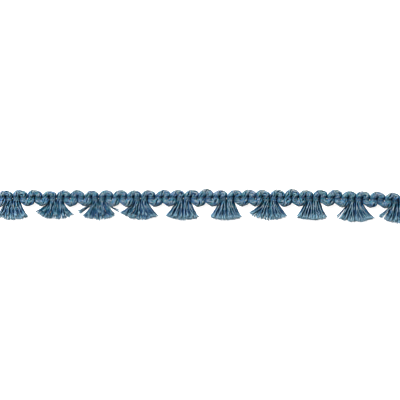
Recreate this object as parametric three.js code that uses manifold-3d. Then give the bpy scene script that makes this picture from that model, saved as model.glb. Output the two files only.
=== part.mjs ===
// Scroll gimp trim with small cut tassels, a cut length lying face up.
// Millimetres. +X runs along the trim, +Y points to its plain scalloped edge, +Z up through its face.
// It rests on z = 0, and the origin is the middle of its underside.
//
// The heading is a bundle of yarns, twisted into a soft cord, that winds up and down between fine
// binding threads. Every third loop at the bottom is left long and cut. So each weft bundle starts
// as the right half of one tassel, makes three top lobes and two bottom lobes, and ends as the left
// half of the next tassel.

import * as THREE from 'three';
import { mergeVertices } from 'three/addons/utils/BufferGeometryUtils.js';
import Module from 'manifold-3d';

const wasm = await Module();
wasm.setup();

// The length and its repeat.
const LOBE_PITCH = 9.6;
const LOBES_PER_TASSEL = 3;
const TASSEL_PITCH = LOBE_PITCH * LOBES_PER_TASSEL;
const LEG_PITCH = LOBE_PITCH / 2;
const TASSELS = 10;
const FIRST_TASSEL_X = -TASSEL_PITCH * (TASSELS - 1) / 2;
const MIDLINE_Y = 4.95;

// The cord of the weft: a low oval with four raised strands, pressed narrow and thin where the
// binding threads cross it.
const CORD_SIDES = 8;
const CORD_VALLEY = 0.8;
const LOBE_MIDDLE_Z = 1.5;
const LOBE_HALF_HEIGHT = 2.15;
const LEG_HALF_WIDTH = 1.72;
const LEG_MIDDLE_Z = 2.04;
const LEG_HALF_HEIGHT = 1.25;

// Each lobe turns about an eye on its leg pair's middle line.
// turn: degrees about the eye; inner and outer: how far the cord's edges are from the eye.
const TOP_EYE_Y = 1.6;
const TOP_LOBE = [
  { turn: 180, inner: 0.62, outer: 4.25 },
  { turn: 157, inner: 0.35, outer: 4.85 },
  { turn: 130, inner: 0.3, outer: 4.95 },
  { turn: 102, inner: 0.3, outer: 4.6 },
  { turn: 74, inner: 0.3, outer: 4.45 },
  { turn: 46, inner: 0.3, outer: 4.5 },
  { turn: 20, inner: 0.35, outer: 4.65 },
  { turn: 0, inner: 0.62, outer: 4.25 },
];
const BOTTOM_EYE_Y = -1.2;
const BOTTOM_LOBE = [
  { turn: 180, inner: 0.62, outer: 4.25 },
  { turn: 204, inner: 0.35, outer: 4.7 },
  { turn: 232, inner: 0.3, outer: 4.25 },
  { turn: 260, inner: 0.3, outer: 3.8 },
  { turn: 288, inner: 0.3, outer: 3.75 },
  { turn: 316, inner: 0.3, outer: 4.05 },
  { turn: 342, inner: 0.35, outer: 4.5 },
  { turn: 360, inner: 0.62, outer: 4.25 },
];
const LOBE_UNEVENNESS = 0.035;

// The neck is the leg's free lower end, from which a half tassel's yarns spread.
const NECK = [
  { below: 1.3, halfWidth: 1.76, middleZ: LEG_MIDDLE_Z, halfHeight: LEG_HALF_HEIGHT },
  { below: 2.2, halfWidth: 1.85, middleZ: 1.5, halfHeight: 1.85 },
  { below: 3.1, halfWidth: 1.95, middleZ: 1.25, halfHeight: 1.6 },
];
const CUT_LEG_Y = 2.4;

// Half a tassel is two layers of cut yarns, three-sided with a level base. Those of the lower layer
// lie straight on the surface, and those of the upper one curve over them.
// rootZ and restZ: the base at the root and beyond it; stagger: of a yarn's place across the neck,
// in yarns; stops: shares of the length where the yarn's course is given.
const YARN_SIDES = 3;
const YARNS_PER_LAYER = 7;
const YARN_LAYERS = [
  { rootZ: 0, restZ: 0, stagger: 0.1, stops: [0, 1] },
  { rootZ: 1.4, restZ: 1.15, stagger: 0.6, stops: [0, 0.4, 1] },
];
const LAST_STAGGER = YARN_LAYERS[YARN_LAYERS.length - 1].stagger;
const YARN_ROOT_BELOW = 2.5;
const YARN_NEAREST = 0.65;
const YARN_ROOT_SPREAD = 3.2;
const YARN_ROOT_RADIUS = 0.21;
const YARN_RADIUS = 0.56;
const YARN_LIFT = 0.6;
const YARN_CURVE = 0.45;
const YARN_BUNCHING = 0.9;
const YARN_MIDDLE_TURN = 0.02;
const YARN_LENGTH_UNEVENNESS = 0.035;
const YARN_TURN_UNEVENNESS = 0.02;

// One row for each tassel. shift: along the trim from its even place; left and right: how far its
// outermost yarns lean, in degrees; length: of its yarns from the root.
const TASSEL_ROWS = [
  { shift: 0, left: 37, right: 36, length: 11.1 },
  { shift: 0.45, left: 58, right: 45, length: 11.0 },
  { shift: -0.1, left: 54, right: 54, length: 11.3 },
  { shift: -0.65, left: 57, right: 44, length: 11.3 },
  { shift: -0.55, left: 46, right: 37, length: 11.3 },
  { shift: -0.45, left: 45, right: 38, length: 11.5 },
  { shift: 0, left: 58, right: 47, length: 11.3 },
  { shift: -0.2, left: 40, right: 35, length: 11.3 },
  { shift: -0.45, left: 38, right: 45, length: 11.9 },
  { shift: 0, left: 47, right: 42, length: 11.3 },
];

// The binding threads weave over and under the legs.
const BINDING_THREADS = [
  { name: 'binding_thread_top', y: 1.05, overOdd: false },
  { name: 'binding_thread_middle', y: 0.05, overOdd: true },
  { name: 'binding_thread_bottom', y: -0.95, overOdd: false },
];
const THREAD_RADIUS = 0.28;
const THREAD_OVER_Z = 3.66;
const THREAD_UNDER_Z = 0.2;
const THREAD_DIVE = 0.1;
const THREAD_TAIL = 4.3;

// The trim was laid with its right-hand end drooping a little.
const DROOP = 2.0;
const DROOP_START_X = 75;
const DROOP_END_X = FIRST_TASSEL_X + TASSEL_PITCH * (TASSELS - 1);

// Slivers thinner than this, left where yarns join their neck, are cleared away.
const SLIVER = 0.03;

const WEFT_COLOUR = 0x4d6e83;
const THREAD_COLOUR = 0x49687a;

// A repeatable number from -1 to 1 for hand-made unevenness.
function uneven(seed) {
  const wave = Math.sin(seed * 12.9898 + 4.1414) * 43758.5453;
  return (wave - Math.floor(wave)) * 2 - 1;
}

function tasselX(index) {
  return FIRST_TASSEL_X + index * TASSEL_PITCH;
}

// Moves a point from the even, straight layout to where the trim really lies.
function settle(point) {
  const place = THREE.MathUtils.clamp((point.x - FIRST_TASSEL_X) / TASSEL_PITCH, 0, TASSELS - 1);
  const before = Math.min(Math.floor(place), TASSELS - 2);
  const shift = THREE.MathUtils.lerp(
    TASSEL_ROWS[before].shift, TASSEL_ROWS[before + 1].shift, place - before);
  const along = Math.max(0, (point.x - DROOP_START_X) / (DROOP_END_X - DROOP_START_X));
  point.x += shift;
  point.y += MIDLINE_Y - DROOP * Math.min(along, 1.15) ** 1.5;
  return point;
}

// A tube through rings. Each ring has a centre and two half-axis vectors: left of the way the tube
// runs, and up. offset turns the section, in sides. Every other corner is drawn in to valley, and
// the quads are split so that the raised strands climb to the left as the tube runs.
function tube(rings, sides, offset, valley) {
  const steps = rings.length - 1;
  const geometry = new THREE.CylinderGeometry(1, 1, 1, sides, steps);
  geometry.deleteAttribute('normal');
  geometry.deleteAttribute('uv');
  const index = geometry.index;
  for (let quad = 0; quad < steps * sides; quad += 1) {
    const first = quad * 6;
    const [a, b, c, d] = [0, 1, 4, 2].map((corner) => index.getX(first + corner));
    [a, b, c, a, c, d].forEach((corner, slot) => index.setX(first + slot, corner));
  }
  const place = geometry.attributes.position;
  for (let i = 0; i < place.count; i += 1) {
    const step = Math.round((0.5 - place.getY(i)) * steps);
    const ring = rings[step];
    const out = Math.hypot(place.getX(i), place.getZ(i));
    const corner = Math.round(Math.atan2(place.getX(i), place.getZ(i)) / (2 * Math.PI) * sides);
    const angle = (corner + offset) * 2 * Math.PI / sides;
    const raised = Math.abs(step - corner) % 2 === 0 ? 1 : valley;
    const point = ring.centre.clone()
      .addScaledVector(ring.left, out * raised * Math.sin(angle))
      .addScaledVector(ring.up, out * raised * Math.cos(angle));
    point.z = Math.max(point.z, 0);
    settle(point);
    place.setXYZ(i, point.x, point.y, point.z);
  }
  return solid(geometry);
}

function solid(geometry) {
  const merged = mergeVertices(geometry, 1e-4);
  return new wasm.Manifold(new wasm.Mesh({
    numProp: 3,
    vertProperties: Float32Array.from(merged.attributes.position.array),
    triVerts: Uint32Array.from(merged.index.array),
  }));
}

function finished(name, manifold, colour) {
  const shape = manifold.getMesh();
  const geometry = new THREE.BufferGeometry();
  geometry.setAttribute('position', new THREE.BufferAttribute(shape.vertProperties, shape.numProp));
  geometry.setIndex(new THREE.BufferAttribute(shape.triVerts, 1));
  const material = new THREE.MeshStandardMaterial({ color: colour, roughness: 0.95, metalness: 0 });
  const mesh = new THREE.Mesh(geometry, material);
  mesh.name = name;
  return mesh;
}

// One ring of the cord. halfWidth is to the flats of the eight sides.
function cordRing(x, y, middleZ, leftX, leftY, halfWidth, halfHeight) {
  const toCorner = halfWidth / Math.cos(Math.PI / CORD_SIDES);
  return {
    centre: new THREE.Vector3(x, y, middleZ),
    left: new THREE.Vector3(leftX, leftY, 0).multiplyScalar(toCorner),
    up: new THREE.Vector3(0, 0, halfHeight),
  };
}

function legRing(x, y, climbs) {
  return cordRing(x, y, LEG_MIDDLE_Z, climbs ? -1 : 1, 0, LEG_HALF_WIDTH, LEG_HALF_HEIGHT);
}

function neckRing(x, row, climbs) {
  return cordRing(x, -row.below, row.middleZ, climbs ? -1 : 1, 0, row.halfWidth, row.halfHeight);
}

// A lobe's rings stand like rays about its eye. The first and last lie where the legs are bound.
function lobeRings(centreX, top) {
  const rows = top ? TOP_LOBE : BOTTOM_LOBE;
  const eyeY = top ? TOP_EYE_Y : BOTTOM_EYE_Y;
  const swell = LOBE_UNEVENNESS * uneven(centreX * (top ? 1 : 3));
  return rows.map((row, i) => {
    const bound = i === 0 || i === rows.length - 1;
    const turn = THREE.MathUtils.degToRad(row.turn);
    const outer = row.outer * (bound ? 1 : 1 + swell * Math.abs(Math.sin(turn)));
    const middle = (outer + row.inner) / 2;
    const side = top ? 1 : -1;
    return cordRing(
      centreX + middle * Math.cos(turn), eyeY + middle * Math.sin(turn),
      bound ? LEG_MIDDLE_Z : LOBE_MIDDLE_Z,
      side * Math.cos(turn), side * Math.sin(turn),
      (outer - row.inner) / 2, bound ? LEG_HALF_HEIGHT : LOBE_HALF_HEIGHT);
  });
}

// The cut yarns of half a tassel. side is -1 for its left half and 1 for its right half.
function halfTassel(index, side) {
  const row = TASSEL_ROWS[index];
  const lean = THREE.MathUtils.degToRad(side < 0 ? row.left : row.right);
  const yarns = [];
  YARN_LAYERS.forEach((layer, level) => {
    for (let i = 0; i < YARNS_PER_LAYER; i += 1) {
      const across = (i + layer.stagger) / (YARNS_PER_LAYER - 1 + LAST_STAGGER);
      const seed = index * 31 + i * 7 + level * 3 + side;
      const sway = YARN_TURN_UNEVENNESS * uneven(seed) * across;
      const angle = side * (lean * across ** YARN_BUNCHING - YARN_MIDDLE_TURN + sway);
      const length = row.length * (1 + YARN_LENGTH_UNEVENNESS * uneven(seed + 0.5));
      const root = new THREE.Vector3(
        tasselX(index) + side * (YARN_NEAREST + YARN_ROOT_SPREAD * across), -YARN_ROOT_BELOW, 0);
      const rings = layer.stops.map((share) => {
        const turn = angle * (YARN_CURVE + (1 - YARN_CURVE) * share ** 0.5);
        const radius = THREE.MathUtils.lerp(YARN_ROOT_RADIUS, YARN_RADIUS, share ** 0.7);
        const z = share === 0 ? layer.rootZ : layer.restZ;
        return {
          centre: new THREE.Vector3(
            root.x + length * share * Math.sin(turn),
            root.y - length * share * Math.cos(turn),
            z + YARN_LIFT / 2),
          left: new THREE.Vector3(Math.cos(turn), Math.sin(turn), 0).multiplyScalar(radius),
          up: new THREE.Vector3(0, 0, YARN_LIFT),
        };
      });
      yarns.push(tube(rings, YARN_SIDES, 0, 1));
    }
  });
  return yarns;
}

// The legs on both sides of a tassel's middle, and the lobes between two tassels.
function weft(name, rings, halves) {
  const cord = tube(rings, CORD_SIDES, 0.5, CORD_VALLEY);
  const whole = wasm.Manifold.union([cord, ...halves.flat()]).asOriginal();
  return finished(name, whole.simplify(SLIVER), WEFT_COLOUR);
}

function climbFromTassel(index) {
  const x = tasselX(index) + LEG_PITCH / 2;
  return [...[...NECK].reverse().map((row) => neckRing(x, row, true)), legRing(x, 0, true)];
}

function fallToTassel(index) {
  const x = tasselX(index) - LEG_PITCH / 2;
  return [legRing(x, 0, false), ...NECK.map((row) => neckRing(x, row, false))];
}

function weftBetween(index) {
  const rings = climbFromTassel(index);
  for (let lobe = 0; lobe < LOBES_PER_TASSEL; lobe += 1) {
    const topX = tasselX(index) + LOBE_PITCH * (lobe + 0.5);
    rings.push(...lobeRings(topX, true));
    if (lobe < LOBES_PER_TASSEL - 1) {
      rings.push(legRing(topX + LEG_PITCH / 2, 0, false));
      rings.push(...lobeRings(topX + LOBE_PITCH / 2, false));
      rings.push(legRing(topX + LOBE_PITCH - LEG_PITCH / 2, 0, true));
    }
  }
  rings.push(...fallToTassel(index + 1));
  return weft(`weft_${index + 1}`, rings, [halfTassel(index, 1), halfTassel(index + 1, -1)]);
}

function leftEndWeft() {
  const x = tasselX(0);
  const rings = [
    legRing(x - LOBE_PITCH - LEG_PITCH / 2, CUT_LEG_Y, false),
    legRing(x - LOBE_PITCH - LEG_PITCH / 2, 0, false),
    ...lobeRings(x - LOBE_PITCH, false),
    legRing(x - LOBE_PITCH + LEG_PITCH / 2, 0, true),
    ...lobeRings(x - LOBE_PITCH / 2, true),
    ...fallToTassel(0),
  ];
  return weft('weft_left_end', rings, [halfTassel(0, -1)]);
}

function rightEndWeft() {
  const x = tasselX(TASSELS - 1);
  const rings = [
    ...climbFromTassel(TASSELS - 1),
    ...lobeRings(x + LOBE_PITCH / 2, true),
    legRing(x + LOBE_PITCH - LEG_PITCH / 2, 0, false),
    ...lobeRings(x + LOBE_PITCH, false),
    legRing(x + LOBE_PITCH + LEG_PITCH / 2, 0, true),
    legRing(x + LOBE_PITCH + LEG_PITCH / 2, CUT_LEG_Y, true),
  ];
  return weft('weft_right_end', rings, [halfTassel(TASSELS - 1, 1)]);
}

// A binding thread lies over one leg, dives through the gap, lies under the next leg, and so on.
function bindingThread(row) {
  const firstLegX = tasselX(0) - LOBE_PITCH - LEG_PITCH / 2;
  const legs = Math.round((tasselX(TASSELS - 1) - tasselX(0) + 2 * LOBE_PITCH) / LEG_PITCH) + 2;
  const route = [];
  for (let leg = 0; leg < legs; leg += 1) {
    const over = (leg % 2 === 1) === row.overOdd;
    const z = over ? THREAD_OVER_Z : THREAD_UNDER_Z;
    const x = firstLegX + leg * LEG_PITCH;
    const reach = LEG_PITCH / 2 - THREAD_DIVE;
    route.push(new THREE.Vector3(x - (leg === 0 ? THREAD_TAIL : reach), row.y, z));
    route.push(new THREE.Vector3(x + (leg === legs - 1 ? THREAD_TAIL : reach), row.y, z));
  }
  const rings = route.map((point, i) => {
    const arrives = point.clone().sub(route[Math.max(i - 1, 0)]);
    const leaves = route[Math.min(i + 1, route.length - 1)].clone().sub(point);
    const way = arrives.normalize().add(leaves.normalize()).normalize();
    const half = arrives.lengthSq() > 0 && leaves.lengthSq() > 0 ? way.dot(leaves) : 1;
    return {
      centre: point,
      left: new THREE.Vector3(0, THREAD_RADIUS, 0),
      up: new THREE.Vector3(-way.z, 0, way.x).multiplyScalar(THREAD_RADIUS / half),
    };
  });
  return finished(row.name, tube(rings, YARN_SIDES, 0, 1), THREAD_COLOUR);
}

const trim = new THREE.Group();
trim.add(leftEndWeft());
for (let index = 0; index < TASSELS - 1; index += 1) {
  trim.add(weftBetween(index));
}
trim.add(rightEndWeft());
BINDING_THREADS.forEach((row) => trim.add(bindingThread(row)));

export default trim;
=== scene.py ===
"""The looks of a tassel fringe trim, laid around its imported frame.

The trim lies face up on a white table. +X runs along it, +Y points to its scalloped edge, and its
tassels point to -Y. The tables and sizes below are in millimetres, and each mesh is scaled to metres.
"""

import math

import bpy
import numpy as np
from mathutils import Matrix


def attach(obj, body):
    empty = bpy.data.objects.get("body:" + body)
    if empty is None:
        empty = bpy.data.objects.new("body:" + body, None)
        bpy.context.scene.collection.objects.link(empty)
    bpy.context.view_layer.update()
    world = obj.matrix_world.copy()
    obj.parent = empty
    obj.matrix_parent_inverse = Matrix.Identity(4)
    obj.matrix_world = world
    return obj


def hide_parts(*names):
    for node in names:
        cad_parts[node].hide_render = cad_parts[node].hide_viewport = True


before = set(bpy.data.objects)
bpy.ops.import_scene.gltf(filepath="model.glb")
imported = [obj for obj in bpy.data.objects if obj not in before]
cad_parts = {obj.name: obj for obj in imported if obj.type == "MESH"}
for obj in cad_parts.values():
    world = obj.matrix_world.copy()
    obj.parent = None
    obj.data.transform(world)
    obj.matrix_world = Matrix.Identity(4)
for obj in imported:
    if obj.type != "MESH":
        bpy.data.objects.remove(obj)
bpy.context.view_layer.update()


# The weft bundles: 14 soft cotton yarns each, dyed steel blue. Eight are twisted loosely into a cord,
# and six lie flat in its core and back. The bundle winds up and down through the heading in lobes,
# and both its ends are cut and fan out as half tassels.
LOBE_PITCH = 9.6
LOBES_PER_TASSEL = 3
TASSEL_PITCH = LOBE_PITCH * LOBES_PER_TASSEL
LEG_PITCH = LOBE_PITCH / 2
TASSELS = 10
FIRST_TASSEL_X = -TASSEL_PITCH * (TASSELS - 1) / 2
UP = np.array([0.0, 0.0, 1.0])
dice = np.random.default_rng(80)


def tassel_x(index):
    return FIRST_TASSEL_X + index * TASSEL_PITCH


def unit(vectors):
    return vectors / np.maximum(np.linalg.norm(vectors, axis=-1, keepdims=True), 1e-9)


def distance_along(points):
    """How far each point of a line is from its first, along the line."""
    return np.r_[0, np.cumsum(np.linalg.norm(np.diff(points, axis=0), axis=1))]


def wander(along, most, reach):
    """A slow wave along a yarn that never repeats quite the same."""
    waves = [np.sin(2 * np.pi * (along / (reach * dice.uniform(0.7, 1.4)) + dice.random()))
             for _ in range(2)]
    return most * sum(waves) / 2


# A course is the middle line of the cord with its section. Its columns are x, y, z, the sideways
# direction to the left as x and y, half the width, half the height, and the share by which its eye
# lies to the right of it.
LEG_ROWS, LOBE_ROWS = 8, 40
LEG_FROM_EYE = 2.5
LEG_MIDDLE_Z, LEG_HALF_WIDTH, LEG_HALF_HEIGHT = 1.85, 2.05, 1.15
CLIMB_LIFT = 0.28


def leg_course(x, from_y, to_y):
    left = -1.0 if to_y > from_y else 1.0
    rows = np.zeros((LEG_ROWS, 8))
    rows[:] = (x, 0, LEG_MIDDLE_Z - left * CLIMB_LIFT, left, 0, LEG_HALF_WIDTH, LEG_HALF_HEIGHT, 0)
    rows[:, 1] = np.linspace(from_y, to_y, LEG_ROWS)
    return rows


# A lobe turns about its eye. Columns: turn about the eye in degrees, and the cord's inner and outer
# edge from the eye.
TOP_EYE_Y, BOTTOM_EYE_Y = 1.6, 0.4
TOP_LOBE = (
    (180, 0.5, 4.7), (160, 0.6, 4.95), (148, 0.6, 4.95), (135, 0.6, 4.85), (115, 0.6, 4.9),
    (90, 0.6, 4.82), (68, 0.6, 4.85), (48, 0.6, 5.15), (28, 0.6, 5.75), (10, 0.55, 5.35),
    (0, 0.5, 4.7),
)
BOTTOM_LOBE = (
    (180, 0.25, 4.8), (200, 0.35, 5.35), (213, 0.4, 5.25), (229, 0.4, 4.8), (247, 0.4, 4.95),
    (265, 0.4, 5.5), (280, 0.45, 5.55), (296, 0.45, 5.45), (310, 0.5, 5.8), (323, 0.5, 6.1),
    (338, 0.4, 5.85), (350, 0.3, 5.3), (360, 0.25, 4.8),
)
LOBE_MIDDLE_Z, LOBE_HALF_HEIGHT = 2.05, 1.65

# How far each top lobe leans along the trim, and how far it stands above the even height. A row is
# the three lobes after a tassel, the first row those before the first one. The bottom lobes lean
# and hang by chance.
TOP_LOBE_LEANS = (
    (0.0, 0.3, -0.5), (-0.5, -0.4, 0.1), (0.0, -0.7, 0.0), (0.7, 1.0, 0.7), (0.2, 1.7, 1.1),
    (0.9, 1.0, 0.8), (1.2, 0.1, -0.8), (-0.1, 0.5, 0.0), (0.3, 1.2, 1.4), (0.1, 0.5, 1.2),
    (0.4, 0.0, 0.2),
)
TOP_LOBE_RISES = (
    (0.0, -0.3, -0.4), (0.0, 0.1, -0.7), (-0.2, 0.0, -0.4), (-0.1, 0.0, -0.2), (-0.1, 0.2, 0.1),
    (0.3, 0.8, -0.1), (0.1, 0.3, 0.1), (0.3, 0.7, -0.1), (0.1, 0.4, -0.3), (0.0, 0.2, 0.0),
    (0.2, -0.2, 0.0),
)
BOTTOM_LOBE_LEAN, BOTTOM_LOBE_HANG = 0.45, 0.35


def lobe_course(centre_x, top):
    table = np.array(TOP_LOBE if top else BOTTOM_LOBE, float)
    row = np.linspace(0, len(table) - 1, LOBE_ROWS)
    turn, inner, outer = (np.interp(row, range(len(table)), column) for column in table.T)
    turn = np.radians(turn)
    raised = np.clip(np.minimum(row, len(table) - 1 - row), 0, 1)
    side = 1 if top else -1
    if top:
        number = int((centre_x - FIRST_TASSEL_X) // LOBE_PITCH) + LOBES_PER_TASSEL
        lean, rise = (rows[number // LOBES_PER_TASSEL][number % LOBES_PER_TASSEL]
                      for rows in (TOP_LOBE_LEANS, TOP_LOBE_RISES))
    else:
        lean = BOTTOM_LOBE_LEAN * dice.uniform(-1, 1)
        rise = BOTTOM_LOBE_HANG * dice.uniform(-1, 1)
    crown = raised * np.abs(np.sin(turn))
    outer = outer + crown * rise * side
    middle = (inner + outer) / 2
    return np.column_stack([
        centre_x + middle * np.cos(turn) + crown * lean,
        (TOP_EYE_Y if top else BOTTOM_EYE_Y) + middle * np.sin(turn),
        LEG_MIDDLE_Z + (LOBE_MIDDLE_Z - LEG_MIDDLE_Z) * raised - CLIMB_LIFT * np.cos(turn) * side,
        side * np.cos(turn), side * np.sin(turn), (outer - inner) / 2,
        LEG_HALF_HEIGHT + (LOBE_HALF_HEIGHT - LEG_HALF_HEIGHT) * raised, side * raised])


# The length between two rings of a yarn, and how a course is rounded.
STEP = 0.36
FINE_STEP, ROUNDED_ROWS = 0.1, 11


def smooth_course(pieces):
    """Joins courses, rounds the joints and gives rows at even steps."""
    rows = np.vstack(pieces)
    along = distance_along(rows[:, :3])
    kept = np.r_[True, np.diff(along) > 1e-6]
    fine = np.arange(0, along[-1], FINE_STEP)
    rows = np.column_stack([np.interp(fine, along[kept], column[kept]) for column in rows.T])
    window = np.hanning(ROUNDED_ROWS)
    beyond = ROUNDED_ROWS // 2
    padded = np.pad(rows, ((beyond, beyond), (0, 0)), mode="edge")
    rows = np.column_stack([np.convolve(c, window / window.sum(), "valid") for c in padded.T])
    along = distance_along(rows[:, :3])
    even = np.linspace(0, along[-1], int(along[-1] / STEP) + 1)
    rows = np.column_stack([np.interp(even, along, column) for column in rows.T])
    rows[:, 3:5] = unit(rows[:, 3:5])
    return rows, even


# Three pairs of binding threads hold the legs, and sink into those that they cross over. Columns:
# node, place across the heading, and whether the first thread of the pair goes over the odd legs.
BINDING_THREADS = (
    ("binding_thread_top", 1.05, False),
    ("binding_thread_middle", 0.05, True),
    ("binding_thread_bottom", -0.95, False),
)
FIRST_LEG_X = FIRST_TASSEL_X - LOBE_PITCH - LEG_PITCH / 2
THREAD_APART = 0.22
THREAD_PRESS, THREAD_PRESS_REACH = 0.25, 0.34


def press_threads(line):
    """Sinks the face of each leg where a binding thread crosses over it."""
    for _, thread_y, over_odd in BINDING_THREADS:
        leg = np.round((line[:, 0] - FIRST_LEG_X) / LEG_PITCH)
        partner = np.where((leg % 2 == 1) == over_odd, 1, -1)
        aside = line[:, 1] - thread_y - partner * THREAD_APART
        near = np.exp(-(aside / THREAD_PRESS_REACH) ** 2)
        line[:, 2] -= np.where(line[:, 2] > LEG_MIDDLE_Z, THREAD_PRESS * near, 0)


# A yarn has about YARN_RADIUS where the cord has its full section, and less where that is slimmer.
# It is pressed a little where it lies on the table.
YARN_RADIUS = 0.46
FULL_SECTION = 1.85
TABLE_PRESS = 0.9

# The twisted yarns: their twist, their sizes as shares of YARN_RADIUS, and how far they are pressed
# flat where there is room beside them.
TWISTED_YARNS = 8
TURNS_PER_MM, TURNS_SWING = 0.045, 0.105
TWISTED_SIZES = (0.9, 1.12)
FLATTENING, FLATTEST = 0.58, 1.9

# The flat yarns lie side by side, face down with a slight tilt, and the middle ones rise into the
# cord's core. The reaches say how far the cord's edges are from its middle line, in the legs and
# beside the eyes of the lobes.
FLAT_YARNS, BACK_TILT = 6, 0.01
FLAT_YARN_SIZE, FLAT_YARN_SIZES, FLAT_YARN_FLATNESS = 1.12, (0.96, 1.06), 1.1
LEG_RIGHT_REACH, LEG_LEFT_REACH = 2.45, 1.95
TOP_EYE_REACH, BOTTOM_EYE_REACH, OUTER_EDGE = 2.5, 1.6, 0.75
LEG_GROUND = 0.35
CORE_RISE, CORE_NARROWNESS = 1.0, 1.4

# Some of the gaps over the bottom lobes are left open a little between two binding threads.
PEEPHOLE, PEEPHOLE_Y, PEEPHOLE_REACH = 0.6, 0.55, 0.4
PEEPHOLE_RHYTHM, PEEPHOLE_FROM = 2.3, -0.2

# The waves in which yarns stray from their even places: by how much, and over what length.
TURN_WAVE, THICK_WAVE, WIDTH_WAVE, HEIGHT_WAVE = (0.28, 6.5), (0.08, 4), (0.12, 5), (0.16, 5)
FLAT_THICK_WAVE, FLAT_SIDE_WAVE, FLAT_RISE_WAVE = (0.06, 4), (0.1, 5), (0.12, 5)


def laid_strand(line, radius, away, flat):
    """A yarn or thread, with the direction away from its cord and how flat it is.

    loose is its share of freedom from the cord; it also carries the painted shade of a tassel
    layer, which is a painted light where it is below 0.
    """
    rings = len(line)
    return {"line": line, "radius": radius, "away": np.broadcast_to(away, (rings, 3)),
            "flat": np.broadcast_to(flat, rings), "loose": np.zeros(rings),
            "under": np.zeros(rings), "ends": {}}


def bundle_yarns(course, along):
    """The 14 yarns of a cord."""
    left = np.column_stack([course[:, 3:5], np.zeros(len(course))])
    half_width, half_height, eye = course[:, 5:].T
    squeeze = (np.sqrt(half_width * half_height) / FULL_SECTION) ** 0.5
    # The bundle is laid to and fro, so its yarns cross over in the lobes and back in the legs.
    lengthwise = 2 * course[:, 4] ** 2 - 1
    twist = 2 * np.pi * (TURNS_PER_MM + TURNS_SWING * lengthwise)
    turned = np.cumsum(twist) * (along[1] - along[0]) + 2 * np.pi * dice.random()
    yarns = []
    for i in range(TWISTED_YARNS):
        turn = turned + 2 * np.pi * i / TWISTED_YARNS + wander(along, *TURN_WAVE)
        radius = YARN_RADIUS * squeeze * dice.uniform(*TWISTED_SIZES) * (1 + wander(along, *THICK_WAVE))
        wide = half_width - radius + wander(along, *WIDTH_WAVE)
        high = half_height - radius + wander(along, *HEIGHT_WAVE)
        away = left * np.sin(turn)[:, None] + UP * np.cos(turn)[:, None]
        line = (course[:, :3] + left * (wide * np.sin(turn))[:, None]
                + UP * (high * np.cos(turn))[:, None])
        press_threads(line)
        line[:, 2] = np.maximum(line[:, 2], radius * TABLE_PRESS)
        room = np.hypot(wide * np.cos(turn), high * np.sin(turn))
        room *= 2 * np.pi / TWISTED_YARNS / np.sqrt(1 + (room * twist) ** 2)
        flat = np.clip(room * FLATTENING / radius, 1.0, FLATTEST)
        yarns.append(laid_strand(line, radius, away, flat))

    in_lobe = np.abs(eye)
    outer_reach = half_width - OUTER_EDGE
    right_reach = LEG_RIGHT_REACH + (
        np.where(eye > 0, TOP_EYE_REACH, outer_reach) - LEG_RIGHT_REACH) * in_lobe
    left_reach = LEG_LEFT_REACH + (
        np.where(eye < 0, BOTTOM_EYE_REACH, outer_reach) - LEG_LEFT_REACH) * in_lobe
    gap = np.round((course[:, 0] - FIRST_TASSEL_X) / LOBE_PITCH)
    left_open = np.sin(gap * PEEPHOLE_RHYTHM) > PEEPHOLE_FROM
    left_reach = left_reach - left_open * PEEPHOLE * np.exp(
        -((course[:, 1] - PEEPHOLE_Y) / PEEPHOLE_REACH) ** 2)
    for i in range(FLAT_YARNS):
        place = i / (FLAT_YARNS - 1)
        radius = YARN_RADIUS * FLAT_YARN_SIZE * dice.uniform(*FLAT_YARN_SIZES)
        radius = radius * (1 + wander(along, *FLAT_THICK_WAVE))
        aside = (right_reach + left_reach) * place - right_reach + wander(along, *FLAT_SIDE_WAVE)
        line = course[:, :3] + left * aside[:, None]
        line[:, 2] = radius + LEG_GROUND * (1 - in_lobe) + np.abs(wander(along, *FLAT_RISE_WAVE))
        line[:, 2] += CORE_RISE * max(1 - CORE_NARROWNESS * abs(2 * place - 1), 0)
        yarns.append(laid_strand(line, radius, left * BACK_TILT - UP, FLAT_YARN_FLATNESS))
    return yarns


# The half tassels: a bundle's yarns run on below the heading, and are cut off about 11 mm further
# on. They spread into a fan, with the next bundle's as its other half.
# One row for each tassel. Columns: shift along the trim, lean of its outermost yarns to the left and
# to the right in degrees, length of its yarns, and how tousled it is, from 0 to 1.
TASSEL_ROWS = (
    (0.0, 36, 30, 11.3, 0.5), (0.45, 54, 39, 11.1, 1.0), (-0.1, 47, 47, 11.4, 0.9),
    (-0.65, 55, 39, 11.4, 0.8), (-0.55, 40, 28, 11.5, 0.35), (-0.45, 34, 28, 11.6, 0.2),
    (0.0, 53, 37, 11.5, 0.4), (-0.2, 33, 25, 11.5, 0.1), (-0.45, 34, 39, 12.1, 0.1),
    (0.0, 42, 37, 11.5, 0.3),
)

# A lower layer of yarns lies on the table and an upper one over it. first and step: places across
# the neck, from 0 at the tassel's middle to 1 at its edge. shortened: the most by which a yarn is
# cut short. freedom: how much of the tassel's tousling it takes. The last entry is the layer's
# painted shade, which is a painted light where it is below 0.
YARN_LAYERS = (
    {"yarns": 10, "height": 0.5, "first": 0.0, "step": 0.111, "shortened": 0.03, "freedom": 0.22,
     "size": 1.12, "flatness": 1.45, "under": 1.3},
    {"yarns": 4, "height": 1.35, "first": 0.1, "step": 0.26, "shortened": 0.42, "freedom": 1.0,
     "size": 0.9, "flatness": 1.0, "under": -0.4},
)

# Yarns that stand off from the edge of a fan: tassel, side, by how many degrees, and from which
# place across the neck outwards.
STRAY_YARNS = ((1, 1, 4, 0.95), (2, -1, 13, 0.85), (2, 1, 13, 0.95), (8, -1, 10, 0.95), (9, -1, 9, 0.85))

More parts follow.
